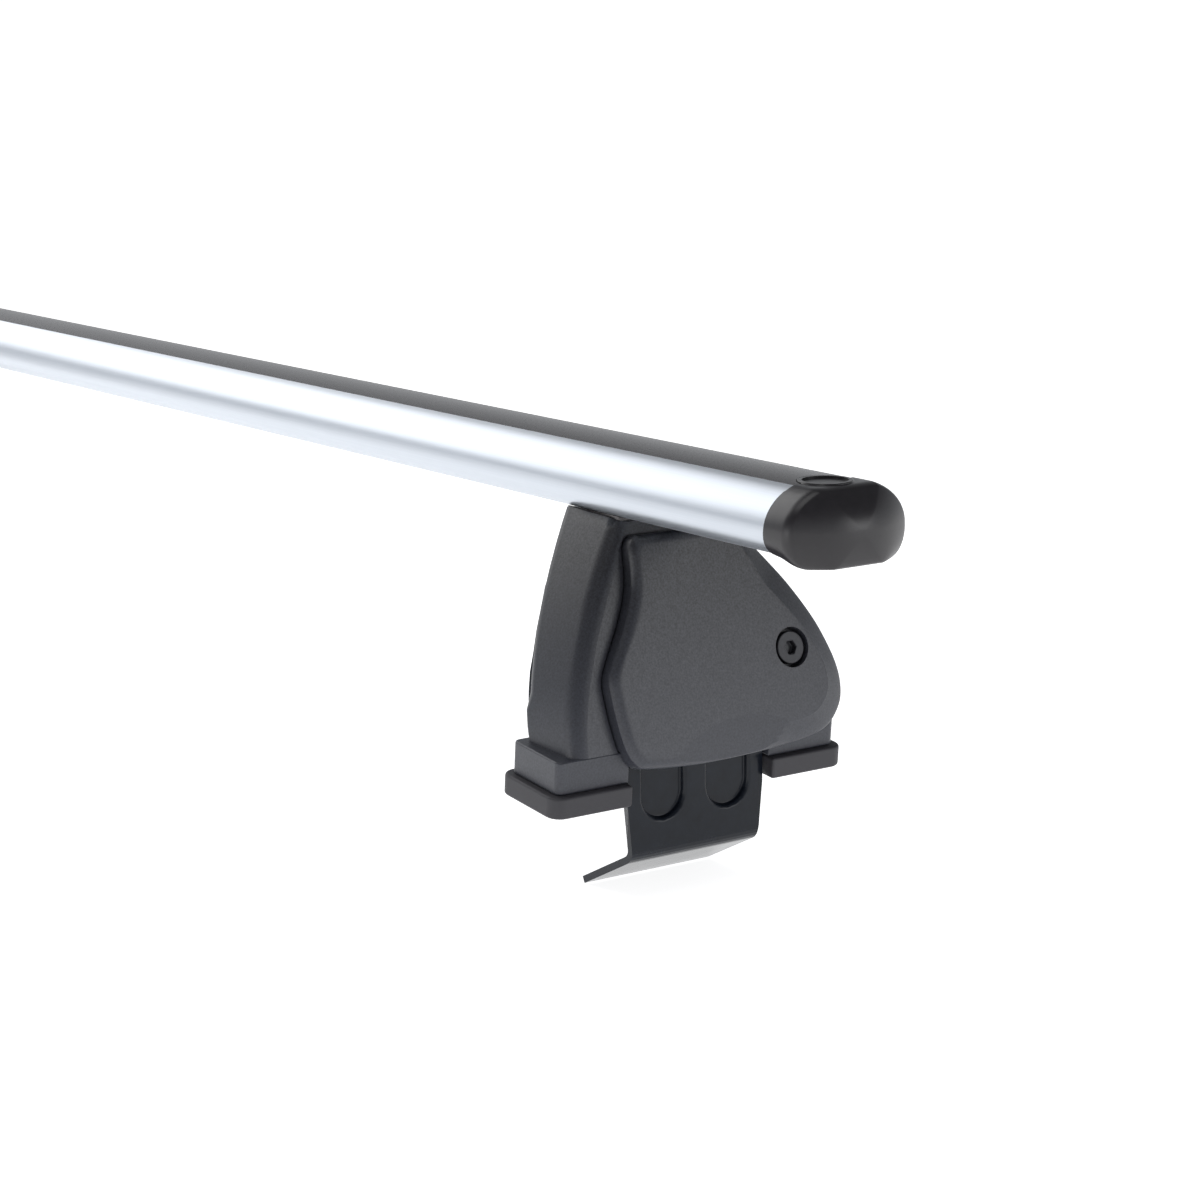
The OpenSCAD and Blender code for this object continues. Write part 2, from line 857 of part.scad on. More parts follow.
bar_profile();
slot_strip();
end_cap("right");  // right_end_cap
end_cap("left");  // left_end_cap
foot_housing("right");  // right_foot_housing
saddle_liner("right");  // right_saddle_liner
cover("right");  // right_cover
cover_screw("right");  // right_cover_screw
screw_insert("right");  // right_screw_insert
t_bolt("right");  // right_t_bolt
t_washer("right");  // right_t_washer
t_nut("right");  // right_t_nut
clamp_bracket("right");  // right_clamp_bracket
tension_screw("right");  // right_tension_screw
clamp_hook("right");  // right_clamp_hook
hook_nut("right");  // right_hook_nut
pad_block("right");  // right_pad_block
roof_pad("right");  // right_roof_pad
foot_housing("left");  // left_foot_housing
saddle_liner("left");  // left_saddle_liner
cover("left");  // left_cover
cover_screw("left");  // left_cover_screw
screw_insert("left");  // left_screw_insert
t_bolt("left");  // left_t_bolt
t_washer("left");  // left_t_washer
t_nut("left");  // left_t_nut
clamp_bracket("left");  // left_clamp_bracket
tension_screw("left");  // left_tension_screw
clamp_hook("left");  // left_clamp_hook
hook_nut("left");  // left_hook_nut
pad_block("left");  // left_pad_block
roof_pad("left");  // left_roof_pad
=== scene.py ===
"""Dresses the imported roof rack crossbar: its pieces, finishes, floor, lights and camera."""
import json
import math

import bpy
from mathutils import Matrix, Vector

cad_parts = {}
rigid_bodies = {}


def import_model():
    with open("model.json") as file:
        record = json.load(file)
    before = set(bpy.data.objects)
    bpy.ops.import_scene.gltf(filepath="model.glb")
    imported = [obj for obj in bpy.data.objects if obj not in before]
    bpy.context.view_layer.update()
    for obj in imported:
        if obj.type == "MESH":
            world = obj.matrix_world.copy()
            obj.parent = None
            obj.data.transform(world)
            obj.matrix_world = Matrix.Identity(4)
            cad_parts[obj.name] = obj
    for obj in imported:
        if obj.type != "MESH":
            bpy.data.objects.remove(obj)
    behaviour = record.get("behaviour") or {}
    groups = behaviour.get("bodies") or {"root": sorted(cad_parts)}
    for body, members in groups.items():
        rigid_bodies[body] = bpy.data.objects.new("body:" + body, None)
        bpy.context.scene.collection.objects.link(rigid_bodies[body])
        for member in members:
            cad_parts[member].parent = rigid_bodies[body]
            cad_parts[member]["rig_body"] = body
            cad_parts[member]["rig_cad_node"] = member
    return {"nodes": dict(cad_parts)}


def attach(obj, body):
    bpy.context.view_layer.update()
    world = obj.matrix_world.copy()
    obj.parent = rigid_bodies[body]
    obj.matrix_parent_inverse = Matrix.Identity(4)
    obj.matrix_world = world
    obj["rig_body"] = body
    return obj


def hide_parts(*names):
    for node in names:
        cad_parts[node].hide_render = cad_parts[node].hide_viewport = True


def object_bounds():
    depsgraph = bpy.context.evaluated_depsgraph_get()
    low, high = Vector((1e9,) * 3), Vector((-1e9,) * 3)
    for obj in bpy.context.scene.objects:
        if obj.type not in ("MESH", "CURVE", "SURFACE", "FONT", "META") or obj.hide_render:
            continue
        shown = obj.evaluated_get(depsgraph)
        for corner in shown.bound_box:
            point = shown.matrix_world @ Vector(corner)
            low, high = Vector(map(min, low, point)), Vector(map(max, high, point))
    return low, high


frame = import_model()
cad_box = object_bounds()
SIDES = {"right": 1, "left": -1}

# The bar: an aluminium extrusion of wing section, bead blasted and anodised, so it is satin all over.
# The die leaves fine lines along it, about half a millimetre apart and too faint to feel. They are
# drawn a little stronger than the real ones, so that they just show.

ANODISED_LIGHT = "#ccd1d8"
ANODISED_DARK = "#bcc2ca"
DIE_LINE = 0.0005
DIE_RUN = 0.08


def linear(colour):
    """The linear RGBA of an sRGB hex colour."""
    parts = [int(colour[i:i + 2], 16) / 255 for i in (1, 3, 5)]
    return [c / 12.92 if c <= 0.04045 else ((c + 0.055) / 1.055) ** 2.4 for c in parts] + [1.0]


def add_node(material, kind, inputs=None, **settings):
    """Adds a node with its settings; an input is a value or another node's output."""
    tree = material.node_tree
    node = tree.nodes.new(kind)
    for name, value in settings.items():
        setattr(node, name, value)
    for name, value in (inputs or {}).items():
        if isinstance(value, bpy.types.NodeSocket):
            tree.links.new(value, node.inputs[name])
        else:
            node.inputs[name].default_value = value
    return node


def start_material(name, **sockets):
    """A material with only its shader, whose constants are set on its own sockets."""
    material = bpy.data.materials.new(name)
    material.use_nodes = True
    shader = material.node_tree.nodes["Principled BSDF"]
    for socket, value in sockets.items():
        shader.inputs[socket.replace("_", " ")].default_value = value
    return material, shader


def dress(piece, material):
    """Gives a piece its one material."""
    piece.data.materials.clear()
    piece.data.materials.append(material)
    piece.data.polygons.foreach_set("material_index", [0] * len(piece.data.polygons))


def only(piece):
    """Selects one piece and makes it the active one."""
    bpy.ops.object.select_all(action="DESELECT")
    piece.select_set(True)
    bpy.context.view_layer.objects.active = piece


def finished_copy(node, name):
    """A copy of a CAD node with its triangles merged back into whole faces."""
    piece = frame["nodes"][node].copy()
    piece.data = piece.data.copy()
    piece.parent = None
    piece.name = name
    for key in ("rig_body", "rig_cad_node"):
        del piece[key]
    bpy.context.scene.collection.objects.link(piece)
    only(piece)
    bpy.ops.object.mode_set(mode="EDIT")
    bpy.ops.mesh.select_all(action="SELECT")
    bpy.ops.mesh.remove_doubles(threshold=2e-6)
    bpy.ops.mesh.dissolve_limited(angle_limit=math.radians(0.4))
    bpy.ops.object.mode_set(mode="OBJECT")
    return piece


def soften(piece, radius, steps=2, sharp=28):
    """Rounds every edge of a piece that is sharper than a number of degrees."""
    rounding = piece.modifiers.new("rounded_edges", "BEVEL")
    rounding.width = radius
    rounding.segments = steps
    rounding.limit_method = "ANGLE"
    rounding.angle_limit = math.radians(sharp)
    rounding.use_clamp_overlap = False
    only(piece)
    bpy.ops.object.modifier_apply(modifier=rounding.name)


def smooth(piece, crease=32):
    """Smooth shading that large faces lead, so that they stay flat beside small ones."""
    only(piece)
    bpy.ops.object.shade_smooth_by_angle(angle=math.radians(crease))
    weighting = piece.modifiers.new("weighted_normals", "WEIGHTED_NORMAL")
    weighting.keep_sharp = True
    bpy.ops.object.modifier_apply(modifier=weighting.name)


anodised, shader = start_material("satin_anodised_aluminium", Metallic=0.85, Roughness=0.34)
place = add_node(anodised, "ShaderNodeTexCoord")
drawn = add_node(anodised, "ShaderNodeMapping", {
    "Vector": place.outputs["Object"], "Scale": (1 / DIE_RUN, 1 / DIE_LINE, 1 / DIE_LINE)})
lines = add_node(anodised, "ShaderNodeTexNoise", {
    "Vector": drawn.outputs["Vector"], "Scale": 1.0, "Detail": 3.0, "Roughness": 0.6})
tone = add_node(anodised, "ShaderNodeMix", {
    "Factor": lines.outputs["Fac"], "A": linear(ANODISED_DARK), "B": linear(ANODISED_LIGHT)},
    data_type="RGBA")
anodised.node_tree.links.new(tone.outputs[2], shader.inputs["Base Color"])
shine = add_node(anodised, "ShaderNodeMapRange", {
    "Value": lines.outputs["Fac"], "To Min": 0.3, "To Max": 0.4})
anodised.node_tree.links.new(shine.outputs["Result"], shader.inputs["Roughness"])
relief = add_node(anodised, "ShaderNodeBump", {
    "Height": lines.outputs["Fac"], "Strength": 0.1, "Distance": 0.00003})
anodised.node_tree.links.new(relief.outputs["Normal"], shader.inputs["Normal"])

bar = finished_copy("bar_profile", "anodised_bar")
smooth(bar, crease=24)
dress(bar, anodised)
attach(bar, "bar")
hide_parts("bar_profile")

# The strip: extruded rubber pressed into the bar's top slot, nearly flush with the aluminium.
# Its top is crowned by a millimetre, so the far half catches the light. Dust leaves it uneven.

STRIP_DARK = "#221e20"
STRIP_LIGHT = "#332d30"
STRIP_HALF = 0.0135
STRIP_CROWN = 0.00095
STRIP_DUST = 0.0009

strip_rubber, shader = start_material("extruded_rubber", Roughness=0.34)
place = add_node(strip_rubber, "ShaderNodeTexCoord")
dust = add_node(strip_rubber, "ShaderNodeTexNoise", {
    "Vector": place.outputs["Object"], "Scale": 1 / STRIP_DUST, "Detail": 3.0})
tone = add_node(strip_rubber, "ShaderNodeMix", {
    "Factor": dust.outputs["Fac"], "A": linear(STRIP_DARK), "B": linear(STRIP_LIGHT)}, data_type="RGBA")
strip_rubber.node_tree.links.new(tone.outputs[2], shader.inputs["Base Color"])
dullness = add_node(strip_rubber, "ShaderNodeMapRange", {
    "Value": dust.outputs["Fac"], "To Min": 0.22, "To Max": 0.34})
strip_rubber.node_tree.links.new(dullness.outputs["Result"], shader.inputs["Roughness"])
relief = add_node(strip_rubber, "ShaderNodeBump", {
    "Height": dust.outputs["Fac"], "Strength": 0.05, "Distance": 0.00003})
strip_rubber.node_tree.links.new(relief.outputs["Normal"], shader.inputs["Normal"])

strip = finished_copy("slot_strip", "slot_strip_rubber")
only(strip)
bpy.ops.object.mode_set(mode="EDIT")
for row in range(-5, 6):
    bpy.ops.mesh.select_all(action="SELECT")
    bpy.ops.mesh.bisect(plane_co=(0, STRIP_HALF * row / 6, 0), plane_no=(0, 1, 0))
bpy.ops.mesh.select_all(action="DESELECT")
bpy.ops.object.mode_set(mode="OBJECT")
for vertex in strip.data.vertices:
    if vertex.co.z > -2e-5:
        vertex.co.z += STRIP_CROWN * (1 - (vertex.co.y / STRIP_HALF) ** 2)
smooth(strip, crease=30)
dress(strip, strip_rubber)
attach(strip, "bar")
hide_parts("slot_strip")

# The end caps: nylon moulded in a polished tool and pushed into the bar, with a dished round boss.
# Their sides run straight on from the bar while the underside droops, and the end is crowned.
# The polish leaves a satin gloss with a faint flow pattern a few millimetres wide.

CAP_DARK = "#19171a"
CAP_LIGHT = "#242226"
CAP_FLOW = 0.003
BAR_END = 0.6
CAP_LENGTH = 0.0236
CAP_SIDE = 0.0165
CAP_CORNER = 0.006
CORNER_REACH = 0.9
CORNER_SHRINK = 0.129
CAP_DROOP = 0.0032
BELLY = 1.9
NOSE_HEIGHT = 0.009
NOSE_Z = -0.016
BOSS_X = BAR_END + 0.001
BOSS_R = 0.0105
BOSS_TALL = 0.0024
BOSS_FOOT = -0.0014
DISH_R = 0.0088
DISH_FLOOR = 0.0001
PLUG_END = BAR_END + 0.0004
PLUG_TOP = -0.0016


def section_point(y, z):
    """A point of the bar's section, given in millimetres from its underside and its middle."""
    return y / 1000, (z - 25) / 1000


def bar_section():
    """The bar's section grown by 0.4 mm, anticlockwise from the middle of its underside."""
    half = [(5 * i, -0.4) for i in range(4)]
    half += [(20 + 8.4 * math.sin(math.radians(a)), 8 - 8.4 * math.cos(math.radians(a)))
             for a in range(0, 91, 9)]
    half += [(4 + 24.4 * math.cos(math.radians(a)), 9 + 17.9 * math.sin(math.radians(a)))
             for a in (4, 9, 14, 19, 24, 29, 34, 39, 44, 49, 54, 59, 63, 66.4)]
    half += [(10.5, 25.4), (7, 25.4), (3.5, 25.4)]
    left = [(-y, z) for y, z in reversed(half[1:])]
    return [section_point(y, z) for y, z in half + [(0, 25.4)] + left]


def lofted(name, rings):
    """A closed skin drawn out ring by ring from its first one, each with as many points."""
    bpy.ops.object.select_all(action="DESELECT")
    bpy.ops.mesh.primitive_circle_add(vertices=len(rings[0]))
    skin = bpy.context.object
    skin.name = name
    for vertex, place in zip(skin.data.vertices, rings[0]):
        vertex.co = place
    bpy.ops.object.mode_set(mode="EDIT")
    bpy.ops.mesh.select_all(action="SELECT")
    bpy.ops.mesh.edge_face_add()
    bpy.ops.object.mode_set(mode="OBJECT")
    for last, ring in zip(rings, rings[1:]):
        order = {tuple(round(c, 6) for c in place): i for i, place in enumerate(last)}
        bpy.ops.object.mode_set(mode="EDIT")
        bpy.ops.mesh.extrude_region_move()
        bpy.ops.object.mode_set(mode="OBJECT")
        for vertex in skin.data.vertices:
            if vertex.select:
                vertex.co = ring[order[tuple(round(c, 6) for c in vertex.co)]]
    bpy.ops.object.mode_set(mode="EDIT")
    bpy.ops.mesh.select_all(action="SELECT")
    bpy.ops.mesh.normals_make_consistent(inside=False)
    bpy.ops.object.mode_set(mode="OBJECT")
    return skin


def cut(piece, tool, operation="DIFFERENCE"):
    """Cuts a tool out of a piece, or joins it on, and throws the tool away."""
    boolean = piece.modifiers.new("cut", "BOOLEAN")
    boolean.object = tool
    boolean.operation = operation
    boolean.solver = "EXACT"
    only(piece)
    bpy.ops.object.modifier_apply(modifier=boolean.name)
    bpy.data.objects.remove(tool)


def round_bar(radius, length, place, sides=64):
    """A cylinder along its own Z, standing on a place given as a matrix."""
    bpy.ops.object.select_all(action="DESELECT")
    bpy.ops.mesh.primitive_cylinder_add(
        vertices=sides, radius=radius, depth=length, location=(0, 0, length / 2))
    rod = bpy.context.object
    bpy.ops.object.transform_apply()
    rod.data.transform(place)
    return rod


def other_side(piece, name):
    """A mirror image of a piece across the middle of the bar, with its own mesh."""
    twin = piece.copy()
    twin.data = piece.data.copy()
    twin.name = name
    bpy.context.scene.collection.objects.link(twin)
    twin.data.transform(Matrix.Scale(-1, 4, (1, 0, 0)))
    only(twin)
    bpy.ops.object.mode_set(mode="EDIT")
    bpy.ops.mesh.select_all(action="SELECT")
    bpy.ops.mesh.remove_doubles(threshold=1e-7)
    bpy.ops.mesh.normals_make_consistent(inside=False)
    bpy.ops.object.mode_set(mode="OBJECT")
    return twin


cap_nylon, shader = start_material("polished_moulded_nylon", Roughness=0.3)
place = add_node(cap_nylon, "ShaderNodeTexCoord")
flow = add_node(cap_nylon, "ShaderNodeTexNoise", {
    "Vector": place.outputs["Object"], "Scale": 1 / CAP_FLOW, "Detail": 5.0, "Roughness": 0.7})
tone = add_node(cap_nylon, "ShaderNodeMix", {
    "Factor": flow.outputs["Fac"], "A": linear(CAP_DARK), "B": linear(CAP_LIGHT)}, data_type="RGBA")
cap_nylon.node_tree.links.new(tone.outputs[2], shader.inputs["Base Color"])
shine = add_node(cap_nylon, "ShaderNodeMapRange", {
    "Value": flow.outputs["Fac"], "To Min": 0.26, "To Max": 0.4})
cap_nylon.node_tree.links.new(shine.outputs["Result"], shader.inputs["Roughness"])
relief = add_node(cap_nylon, "ShaderNodeBump", {
    "Height": flow.outputs["Fac"], "Strength": 0.1, "Distance": 0.00005})
cap_nylon.node_tree.links.new(relief.outputs["Normal"], shader.inputs["Normal"])

stations = [(0.00005, 1.0), (0.005, 1.0), (0.008, 1.0)]
for angle in range(0, 70, 10):
    lean = math.radians(angle)
    stations.append((CAP_SIDE - CAP_CORNER * (1 - CORNER_REACH * math.sin(lean)),
                     1 - CORNER_SHRINK * (1 - math.cos(lean))))
crown_x, crown_s = stations[-1]
for step in range(1, 13):
    left = 1 - 0.95 * step / 12
    stations.append((CAP_LENGTH - (CAP_LENGTH - crown_x) * left * left, crown_s * left))
rings = []
for x, size in stations:
    run = min(1, x / CAP_SIDE)
    low = min(1, BELLY * size) * (1 + CAP_DROOP / NOSE_HEIGHT * run * run * (3 - 2 * run))
    rings.append([(BAR_END + x, y * size, NOSE_Z + (z - NOSE_Z) * (size if z > NOSE_Z else low))
                  for y, z in bar_section()])
cap = lofted("right_dished_cap", rings)
smooth(cap, crease=180)
cut(cap, round_bar(BOSS_R, BOSS_TALL, Matrix.Translation((BOSS_X, 0, BOSS_FOOT))), "UNION")
soften(cap, 0.0003, sharp=60)
cut(cap, round_bar(DISH_R, 0.002, Matrix.Translation((BOSS_X, 0, DISH_FLOOR))))
plug = finished_copy("right_end_cap", "right_cap_plugs")
bpy.ops.object.mode_set(mode="EDIT")
for spot, aim in (((PLUG_END, 0, 0), (1, 0, 0)), ((0, 0, PLUG_TOP), (0, 0, 1))):
    bpy.ops.mesh.select_all(action="SELECT")
    bpy.ops.mesh.bisect(plane_co=spot, plane_no=aim, clear_outer=True, use_fill=True)
bpy.ops.object.mode_set(mode="OBJECT")
only(cap)
plug.select_set(True)
bpy.ops.object.join()
left_cap = other_side(cap, "left_dished_cap")
for side, piece in (("right", cap), ("left", left_cap)):
    smooth(piece, crease=35)
    dress(piece, cap_nylon)
    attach(piece, "bar")
    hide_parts(f"{side}_end_cap")

# The towers: glass filled nylon moulded in a spark eroded tool, which leaves a fine matte grain.
# The grain is about 0.3 mm, and its high points are worn lighter. It is drawn a little coarser, to show.
# Painted light makes the foot lighter towards the roof, and painted shade makes it darker at the top
# under the bar. The back corners are made sharper.

GRAIN_DARK = "#0e0e11"
GRAIN_LIGHT = "#2b2c32"
PAINTED_LOW_LIGHT = "#5c5f6a"
GRAIN = 0.0005
PAINTED_SHADE_TOP = -0.04
PAINTED_LIGHT_LOW = -0.125
PAINTED_LIGHT_SHARE = 0.29
FOOT_X = 0.5233
FOOT_Z = -0.1134
PAD_TILT = math.radians(5.5)
TILT_FADES = 0.03
TOWER_TALL = 0.0894
TOWER_DEEP = 0.0295
TOP_HALF = 0.0245
NEAR_FLANK = (0.064, 1.6)
FAR_FLANK = (0.07, 1.75)
BACK_LEAN = math.radians(18.5)
CORNER_CAD = 0.007
CORNER_SEEN = 0.0028

foot_nylon, shader = start_material("grained_moulded_nylon", Roughness=0.46)
place = add_node(foot_nylon, "ShaderNodeTexCoord")
grain = add_node(foot_nylon, "ShaderNodeTexNoise", {
    "Vector": place.outputs["Object"], "Scale": 0.6 / GRAIN, "Detail": 2.0, "Roughness": 0.65})
speckle = add_node(foot_nylon, "ShaderNodeMapRange", {
    "Value": grain.outputs["Fac"], "From Min": 0.3, "From Max": 0.7})
tone = add_node(foot_nylon, "ShaderNodeMix", {
    "Factor": speckle.outputs["Result"], "A": linear(GRAIN_DARK), "B": linear(GRAIN_LIGHT)},
    data_type="RGBA")
# Painted shade and light: the colour is darkest at the top, in the bar's shade, and grows lighter down
# towards the roof.
height = add_node(foot_nylon, "ShaderNodeSeparateXYZ", {"Vector": place.outputs["Object"]})
painted_light_ramp = add_node(foot_nylon, "ShaderNodeMapRange", {
    "Value": height.outputs["Z"], "From Min": PAINTED_SHADE_TOP, "From Max": PAINTED_LIGHT_LOW,
    "To Min": 0.0, "To Max": PAINTED_LIGHT_SHARE})
painted_light_tone = add_node(foot_nylon, "ShaderNodeMix", {
    "Factor": painted_light_ramp.outputs["Result"], "A": tone.outputs[2], "B": linear(PAINTED_LOW_LIGHT)}, data_type="RGBA")
foot_nylon.node_tree.links.new(painted_light_tone.outputs[2], shader.inputs["Base Color"])
shine = add_node(foot_nylon, "ShaderNodeMapRange", {
    "Value": grain.outputs["Fac"], "From Min": 0.3, "From Max": 0.7, "To Min": 0.44, "To Max": 0.34})
foot_nylon.node_tree.links.new(shine.outputs["Result"], shader.inputs["Roughness"])
relief = add_node(foot_nylon, "ShaderNodeBump", {
    "Height": grain.outputs["Fac"], "Strength": 0.3, "Distance": 0.00007})
foot_nylon.node_tree.links.new(relief.outputs["Normal"], shader.inputs["Normal"])

for side, sign in SIDES.items():
    tower = finished_copy(f"{side}_foot_housing", f"{side}_tower")
    for vertex in tower.data.vertices:
        out, across, height = sign * vertex.co.x - FOOT_X, vertex.co.y, vertex.co.z - FOOT_Z
        level = height
        for _ in range(6):
            level = height + out * math.tan(PAD_TILT) * max(0, 1 - level / TILT_FADES)
        rise = min(1, max(0, level / TOWER_TALL))
        low_half, power = FAR_FLANK if across > 0 else NEAR_FLANK
        half = low_half - (low_half - TOP_HALF) * rise ** power
        back = -TOWER_DEEP - level * math.tan(BACK_LEAN)
        arm = Vector((out - back - CORNER_CAD, abs(across) - half + CORNER_CAD))
        if arm.x < 1e-5 and arm.y > -1e-5 and abs(arm.length - CORNER_CAD) < 8e-5:
            arm *= CORNER_SEEN / CORNER_CAD
            vertex.co.x = sign * (FOOT_X + back + CORNER_SEEN + arm.x)
            vertex.co.y = math.copysign(half - CORNER_SEEN + arm.y, across)
    smooth(tower, crease=35)
    dress(tower, foot_nylon)
    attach(tower, f"{side}_foot")
    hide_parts(f"{side}_foot_housing")

# The saddle liners: thin rubber sheet between the bar and each tower, which shows as a dark line.
# They lie on the tower's saddle and are held by the bar, and are the same rubber as the strip.

for side in SIDES:
    liner = finished_copy(f"{side}_saddle_liner", f"{side}_rubber_liner")
    smooth(liner)
    dress(liner, strip_rubber)
    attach(liner, f"{side}_foot")
    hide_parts(f"{side}_saddle_liner")

# The pad blocks: the same grained nylon as the towers, moulded with soft edges.
# Each one fills the space between its tower and the rubber pad, and is tilted to the roof.

for side in SIDES:
    block = finished_copy(f"{side}_pad_block", f"{side}_moulded_block")
    soften(block, 0.0008, steps=3)
    smooth(block)
    dress(block, foot_nylon)
    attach(block, f"{side}_foot")
    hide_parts(f"{side}_pad_block")

# The roof pads: soft rubber plates that stand out a little round the blocks above them, matte with a
# bloom of dust. The tread's four grooves underneath stop short of the pad's ends.

PAD_DARK = "#2b2a2e"
PAD_LIGHT = "#3a393e"
PAD_BLOOM = 0.0016
PAD_TREAD = -0.0206
PAD_BOTTOM = -0.0222
PAD_LIP = 0.0034
GROOVE_PITCH = 0.00796
GROOVE_SIZE = (0.002, 0.132, 0.003)

pad_rubber, shader = start_material("moulded_pad_rubber", Roughness=0.6)
place = add_node(pad_rubber, "ShaderNodeTexCoord")
bloom = add_node(pad_rubber, "ShaderNodeTexNoise", {
    "Vector": place.outputs["Object"], "Scale": 1 / PAD_BLOOM, "Detail": 6.0, "Roughness": 0.7})
tone = add_node(pad_rubber, "ShaderNodeMix", {
    "Factor": bloom.outputs["Fac"], "A": linear(PAD_DARK), "B": linear(PAD_LIGHT)}, data_type="RGBA")
pad_rubber.node_tree.links.new(tone.outputs[2], shader.inputs["Base Color"])
dullness = add_node(pad_rubber, "ShaderNodeMapRange", {
    "Value": bloom.outputs["Fac"], "To Min": 0.5, "To Max": 0.7})
pad_rubber.node_tree.links.new(dullness.outputs["Result"], shader.inputs["Roughness"])
relief = add_node(pad_rubber, "ShaderNodeBump", {
    "Height": bloom.outputs["Fac"], "Strength": 0.2, "Distance": 0.0001})
pad_rubber.node_tree.links.new(relief.outputs["Normal"], shader.inputs["Normal"])

seat = Matrix.Translation((FOOT_X, 0, FOOT_Z)) @ Matrix.Rotation(PAD_TILT, 4, "Y")
pad = finished_copy("right_roof_pad", "right_rubber_pad")
bpy.ops.object.mode_set(mode="EDIT")
bpy.ops.mesh.select_all(action="SELECT")
bpy.ops.mesh.bisect(
    plane_co=seat @ Vector((0, 0, PAD_TREAD)), plane_no=seat.to_3x3() @ Vector((0, 0, -1)),
    clear_outer=True, use_fill=True)
bpy.ops.object.mode_set(mode="OBJECT")
for vertex in pad.data.vertices:
    local = seat.inverted() @ vertex.co
    if local.z < PAD_TREAD + 1e-5:
        vertex.co = seat @ Vector((local.x, local.y, PAD_BOTTOM))
soften(pad, 0.0011, steps=3)
for row in range(1, 5):
    bpy.ops.object.select_all(action="DESELECT")
    bpy.ops.mesh.primitive_cube_add(
        size=1, location=(PAD_LIP - GROOVE_PITCH * row, 0, PAD_BOTTOM), scale=GROOVE_SIZE)
    groove = bpy.context.object
    bpy.ops.object.transform_apply()
    groove.data.transform(seat)
    cut(pad, groove)
left_pad = other_side(pad, "left_rubber_pad")
for side, piece in (("right", pad), ("left", left_pad)):
    smooth(piece)
    dress(piece, pad_rubber)
    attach(piece, f"{side}_foot")
    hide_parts(f"{side}_roof_pad")

# The T bolts with their washers and nuts, the clamp brackets and the hook nuts: bright zinc plated steel.
# The plating has a faint cloudy spangle a few millimetres wide, and is duller in some places than others.

ZINC_LIGHT = "#cdcfd2"
ZINC_DARK = "#a9abb0"
ZINC_CLOUD = 0.004

zinc, shader = start_material("bright_zinc_plated_steel", Metallic=1.0, Roughness=0.3)
place = add_node(zinc, "ShaderNodeTexCoord")
cloud = add_node(zinc, "ShaderNodeTexNoise", {
    "Vector": place.outputs["Object"], "Scale": 1 / ZINC_CLOUD, "Detail": 5.0, "Roughness": 0.6})
tone = add_node(zinc, "ShaderNodeMix", {
    "Factor": cloud.outputs["Fac"], "A": linear(ZINC_DARK), "B": linear(ZINC_LIGHT)}, data_type="RGBA")
zinc.node_tree.links.new(tone.outputs[2], shader.inputs["Base Color"])
shine = add_node(zinc, "ShaderNodeMapRange", {
    "Value": cloud.outputs["Fac"], "To Min": 0.2, "To Max": 0.42})
zinc.node_tree.links.new(shine.outputs["Result"], shader.inputs["Roughness"])

for side in SIDES:
    for node, body in (("t_bolt", "foot"), ("t_washer", "foot"), ("t_nut", "foot"),
                       ("clamp_bracket", "foot"), ("hook_nut", "hook")):
        hardware = finished_copy(f"{side}_{node}", f"{side}_plated_{node}")
        soften(hardware, 0.0002)
        smooth(hardware)
        dress(hardware, zinc)
        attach(hardware, f"{side}_{body}")
        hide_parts(f"{side}_{node}")

# The screw inserts: turned brass, pressed into the towers.
# The marks of the turning are drawn as a fine mottle about 0.3 mm wide.

BRASS_LIGHT = "#d8b26a"
BRASS_DARK = "#b48f4c"
TURNING = 0.0003

brass, shader = start_material("turned_brass", Metallic=1.0, Roughness=0.28)
place = add_node(brass, "ShaderNodeTexCoord")
turned = add_node(brass, "ShaderNodeTexNoise", {
    "Vector": place.outputs["Object"], "Scale": 1 / TURNING, "Detail": 2.0})
tone = add_node(brass, "ShaderNodeMix", {
    "Factor": turned.outputs["Fac"], "A": linear(BRASS_DARK), "B": linear(BRASS_LIGHT)}, data_type="RGBA")
brass.node_tree.links.new(tone.outputs[2], shader.inputs["Base Color"])

for side in SIDES:
    insert = finished_copy(f"{side}_screw_insert", f"{side}_brass_insert")
    soften(insert, 0.0002)
    smooth(insert)
    dress(insert, brass)
    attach(insert, f"{side}_foot")
    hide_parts(f"{side}_screw_insert")

# The hooks: pressed from 3 mm steel sheet and dip coated, so they are dark blue grey and glossy.
# The wet coating drew up into a faint ripple. The rims of the two pressed pockets are rounded.

COATING_DARK = "#0f1218"
COATING_LIGHT = "#1a1f28"
COATING_RIPPLE = 0.006
HOOK_FACE = 0.5195
POCKET_DEPTH = 0.0026
POCKET_LOW = -0.1445
POCKET_TOP = -0.1095
POCKET_Y = 0.016
POCKET_R = 0.01
RIM_R = 0.0019
POCKET_FLOOR_R = 0.0006

coated, shader = start_material("dip_coated_pressed_steel", Roughness=0.16, Specular_IOR_Level=0.25)
place = add_node(coated, "ShaderNodeTexCoord")
ripple = add_node(coated, "ShaderNodeTexNoise", {
    "Vector": place.outputs["Object"], "Scale": 1 / COATING_RIPPLE, "Detail": 2.0})
tone = add_node(coated, "ShaderNodeMix", {
    "Factor": ripple.outputs["Fac"], "A": linear(COATING_DARK), "B": linear(COATING_LIGHT)},
    data_type="RGBA")
coated.node_tree.links.new(tone.outputs[2], shader.inputs["Base Color"])
relief = add_node(coated, "ShaderNodeBump", {
    "Height": ripple.outputs["Fac"], "Strength": 0.2, "Distance": 0.0004})
coated.node_tree.links.new(relief.outputs["Normal"], shader.inputs["Normal"])

